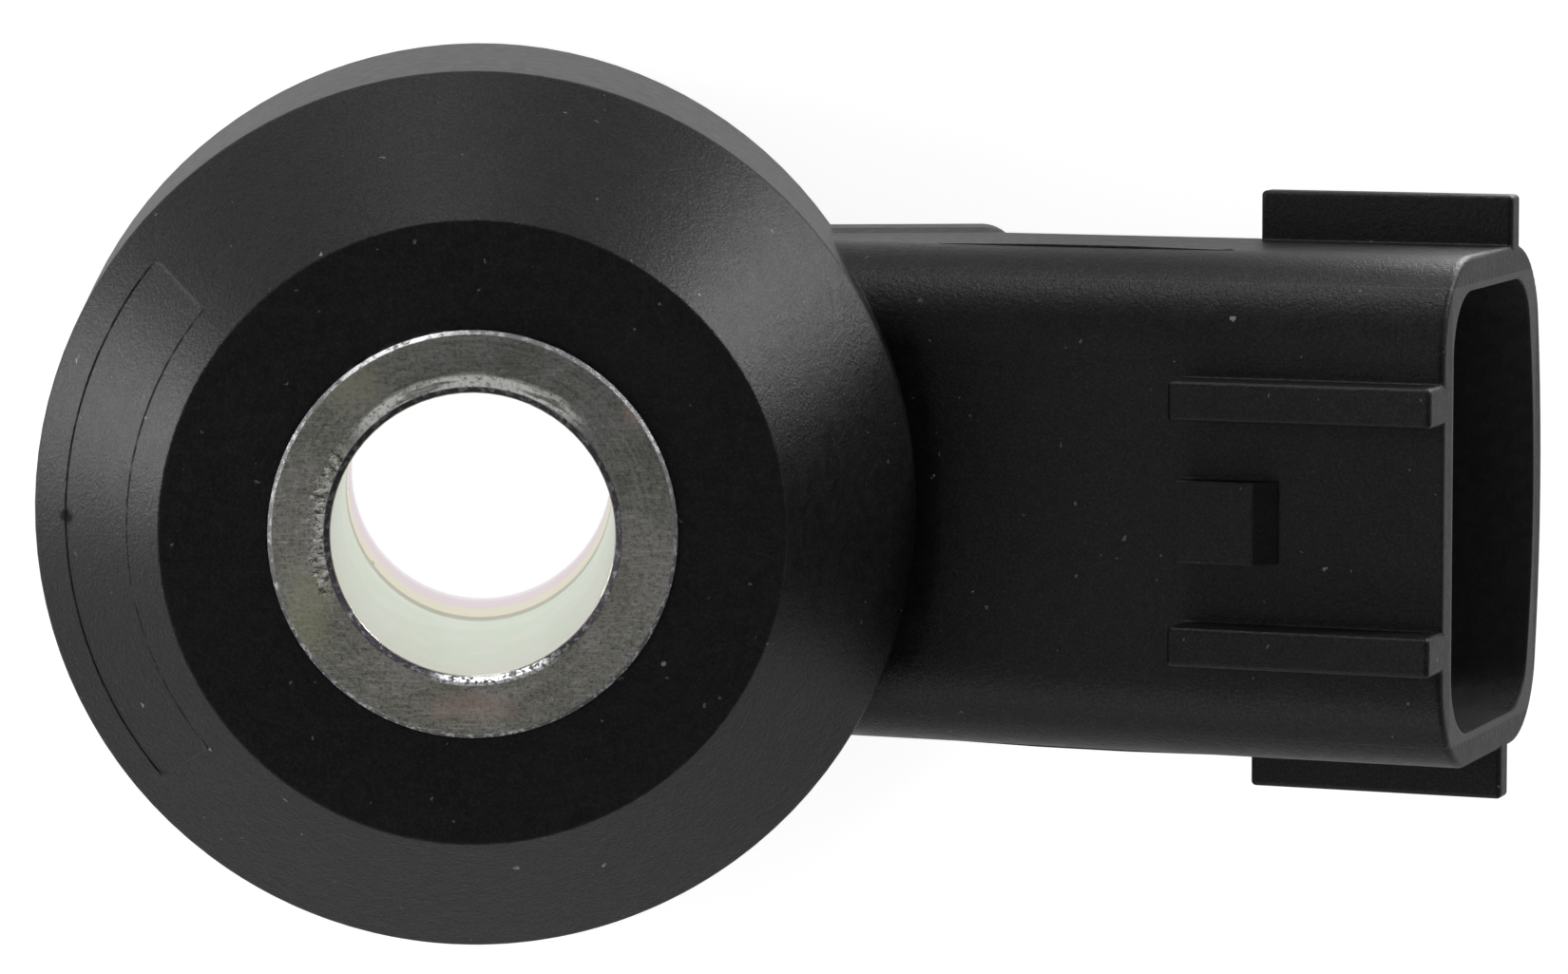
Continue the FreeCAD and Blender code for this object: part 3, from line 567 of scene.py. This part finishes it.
def dress_nodes():
    housing_nylon = nylon("housing_nylon", 0.0055, 0.30)
    dress(["housing"], housing_nylon)
    add_parting_steps(housing_nylon)
    dress(["terminal_carrier"], nylon("carrier_nylon", 0.02, 0.05))
    dress(["sleeve"], sleeve_steel("sleeve_plated_steel"))
    for name, nodes, *looks in METALS:
        dress(nodes, metal(name, *looks))
    for name, nodes, *looks in SOLIDS:
        dress(nodes, smooth_solid(name, *looks))


# A parting step runs along each side wall of the socket: from and to in x, the wall's y, how far
# the step's edge lies from the socket's middle plane, how far it stands proud, its width and how
# deep it sinks into the wall, all in millimetres, then how many lengths it has, and what share of
# them it takes to rise and to fade
PARTING_SPAN = (14.4, 23.2)
PARTING_WALL = 7.8
PARTING_ACROSS = 2.9
PARTING_PROUD = 0.06
PARTING_WIDTH = 0.5
PARTING_SUNK = 0.03
PARTING_STATIONS = 24
PARTING_FADE = 0.35
CORNERS = 4


def parting_step(side):
    """A thin wedge, flush at its lower edge and proud at its upper one, that fades at both ends."""
    run, rise = SOCKET_AXIS
    start, end = PARTING_SPAN
    points = []
    for station in range(PARTING_STATIONS + 1):
        share = station / PARTING_STATIONS
        proud = PARTING_PROUD * min(1.0, share / PARTING_FADE, (1.0 - share) / PARTING_FADE)
        x = start + share * (end - start)
        section = (
            (-PARTING_SUNK, -PARTING_WIDTH),
            (0.0, -PARTING_WIDTH),
            (proud, 0.0),
            (-PARTING_SUNK, 0.0),
        )
        for out, across in section:
            w = PARTING_ACROSS + across
            z = SOCKET_MOUTH[1] + ((x - SOCKET_MOUTH[0]) * rise + w) / run
            points.append((x * MM, side * (PARTING_WALL + out) * MM, z * MM))
    faces = []
    for station in range(PARTING_STATIONS):
        first = CORNERS * station
        second = first + CORNERS
        for corner in range(CORNERS):
            following = (corner + 1) % CORNERS
            faces.append((first + corner, first + following,
                          second + following, second + corner))
    faces.append(tuple(reversed(range(CORNERS))))
    faces.append(tuple(CORNERS * PARTING_STATIONS + corner for corner in range(CORNERS)))
    mesh = bpy.data.meshes.new("parting_step")
    mesh.from_pydata(points, [], faces)
    if side > 0:
        mesh.flip_normals()
    return mesh


def add_parting_steps(material):
    for name, side in (("parting_step_left", 1), ("parting_step_right", -1)):
        mesh = parting_step(side)
        mesh.materials.append(material)
        piece = bpy.data.objects.new(name, mesh)
        bpy.context.scene.collection.objects.link(piece)
        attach(piece, "root")


# Floor: its width and how far it lies under the part, in metres, its glow to the camera, its grey
# for shadows, and the radius of the lit disc under the bore, in millimetres
FLOOR_SIZE = 1.2
FLOOR_DROP = 0.00002
FLOOR_GLOW = 0.84
FLOOR_GREY = 0.42
LIGHT_TABLE_RADIUS = 5.2
# How bright the floor looks in gloss, far off and close round the part, and the patches of it that
# shine in front of the two low lamps: the radii between which they lie, in millimetres, then each
# one's angle and half width in degrees and its brightness, and where a patch has gone and where it
# is full, in half widths
FLOOR_SHINE = 0.43
FOOT_SHINE = 0.64
FOOT_RADII = (17.0, 23.0)
SHEEN_RADII = (35.0, 41.0, 56.0, 70.0)
SHEENS = ((33.5, 12.0, 10.6), (168.0, 14.0, 7.9))
SHEEN_ENDS = (1.2, 0.8)


def floor_gloss(n, radius, angle):
    """How bright a point of the floor looks in gloss."""
    ring = n.times(n.span(radius, SHEEN_RADII[0], SHEEN_RADII[1]),
                   n.span(radius, SHEEN_RADII[3], SHEEN_RADII[2]))
    shine = n.span(radius, FOOT_RADII[0], FOOT_RADII[1], FOOT_SHINE, FLOOR_SHINE)
    for middle, half_width, level in SHEENS:
        outer, inner = (math.radians(half_width * end) for end in SHEEN_ENDS)
        patch = n.near(angle, math.radians(middle), outer, inner)
        shine = n.math("ADD", shine, n.times(patch, ring, level))
    return shine


def add_floor():
    """A white floor with a small lit disc under the bore, like a photographer's light table."""
    mesh = bpy.data.meshes.new("floor")
    half = FLOOR_SIZE / 2
    mesh.from_pydata([(-half, -half, 0), (half, -half, 0), (half, half, 0), (-half, half, 0)], [],
                     [(0, 1, 2, 3)])
    floor = bpy.data.objects.new("floor", mesh)
    bpy.context.scene.collection.objects.link(floor)
    floor.location.z = -FLOOR_DROP
    material, n = new_material("floor_white")
    x, y, _ = n.split(n.millimetres())
    radius, angle = n.around_axis(x, y)
    disc = n.math("LESS_THAN", radius, LIGHT_TABLE_RADIUS)
    path = n.add("ShaderNodeLightPath").outputs
    direct = n.math("MAXIMUM", path["Is Camera Ray"], path["Is Transmission Ray"])
    mirrored = n.times(path["Is Glossy Ray"], floor_gloss(n, radius, angle))
    seen = n.math("MAXIMUM", n.times(direct, FLOOR_GLOW), mirrored)
    diffuse = n.add("ShaderNodeBsdfDiffuse")
    n.put(diffuse.inputs["Color"], n.blend(disc, grey(FLOOR_GREY), grey(0.0)))
    glow = n.add("ShaderNodeEmission")
    n.put(glow.inputs["Strength"], n.math("MAXIMUM", seen, disc))
    both = n.add("ShaderNodeAddShader")
    n.put(both.inputs[0], diffuse.outputs[0])
    n.put(both.inputs[1], glow.outputs[0])
    out = n.add("ShaderNodeOutputMaterial")
    n.put(out.inputs[0], both.outputs[0])
    mesh.materials.append(material)


# Lights: name, compass angle and height angle in degrees, distance in metres, width and height in
# metres, and brightness, where 1 is a plain white sheet. The strips stand low, so they light slopes
# and not tops.
LIGHTS = (
    ("left_strip", 166.0, 3.5, 0.30, (0.050, 0.036), 90.0),
    ("right_strip", 38.0, 3.5, 0.30, (0.050, 0.036), 90.0),
    ("far_strip", 98.0, 6.0, 0.36, (0.10, 0.06), 26.0),
    ("near_box", 250.0, 30.0, 0.50, (0.40, 0.24), 2.2),
    ("high_box", 178.0, 47.0, 0.60, (0.42, 0.42), 0.85),
)
LIGHTS_AIM = Vector((0.0, 0.0, 0.012))
# The room's brightness at the horizon and overhead, and the heights between which it changes
ROOM_LEVELS = (0.6, 0.24)
ROOM_HEIGHTS = (0.1, 0.7)


def add_lights():
    for name, around, up, distance, size, brightness in LIGHTS:
        light = bpy.data.lights.new(name, "AREA")
        light.shape = "RECTANGLE"
        light.size, light.size_y = size
        light.energy = brightness * math.pi * size[0] * size[1]
        lamp = bpy.data.objects.new(name, light)
        bpy.context.scene.collection.objects.link(lamp)
        around, up = math.radians(around), math.radians(up)
        level = math.cos(up)
        way = Vector((math.cos(around) * level, math.sin(around) * level, math.sin(up)))
        lamp.location = LIGHTS_AIM + way * distance
        lamp.rotation_euler = (-way).to_track_quat("-Z", "Y").to_euler()


def add_world():
    """Pale all round at the horizon, darker overhead, and plain white to the camera."""
    world = bpy.data.worlds.new("studio")
    bpy.context.scene.world = world
    world.use_nodes = True
    n = Nodes(world.node_tree)
    height = n.split(n.add("ShaderNodeTexCoord").outputs["Generated"])[2]
    room = n.span(height, *ROOM_HEIGHTS, *ROOM_LEVELS)
    path = n.add("ShaderNodeLightPath").outputs
    background = n.add("ShaderNodeBackground")
    n.put(background.inputs["Color"], grey(1.0))
    n.put(background.inputs["Strength"], n.math("MAXIMUM", room, path["Is Camera Ray"]))
    out = n.add("ShaderNodeOutputWorld")
    n.put(out.inputs[0], background.outputs[0])


add_camera()
dress_nodes()
add_floor()
add_lights()
add_world()
bpy.context.scene.view_settings.view_transform = "Standard"
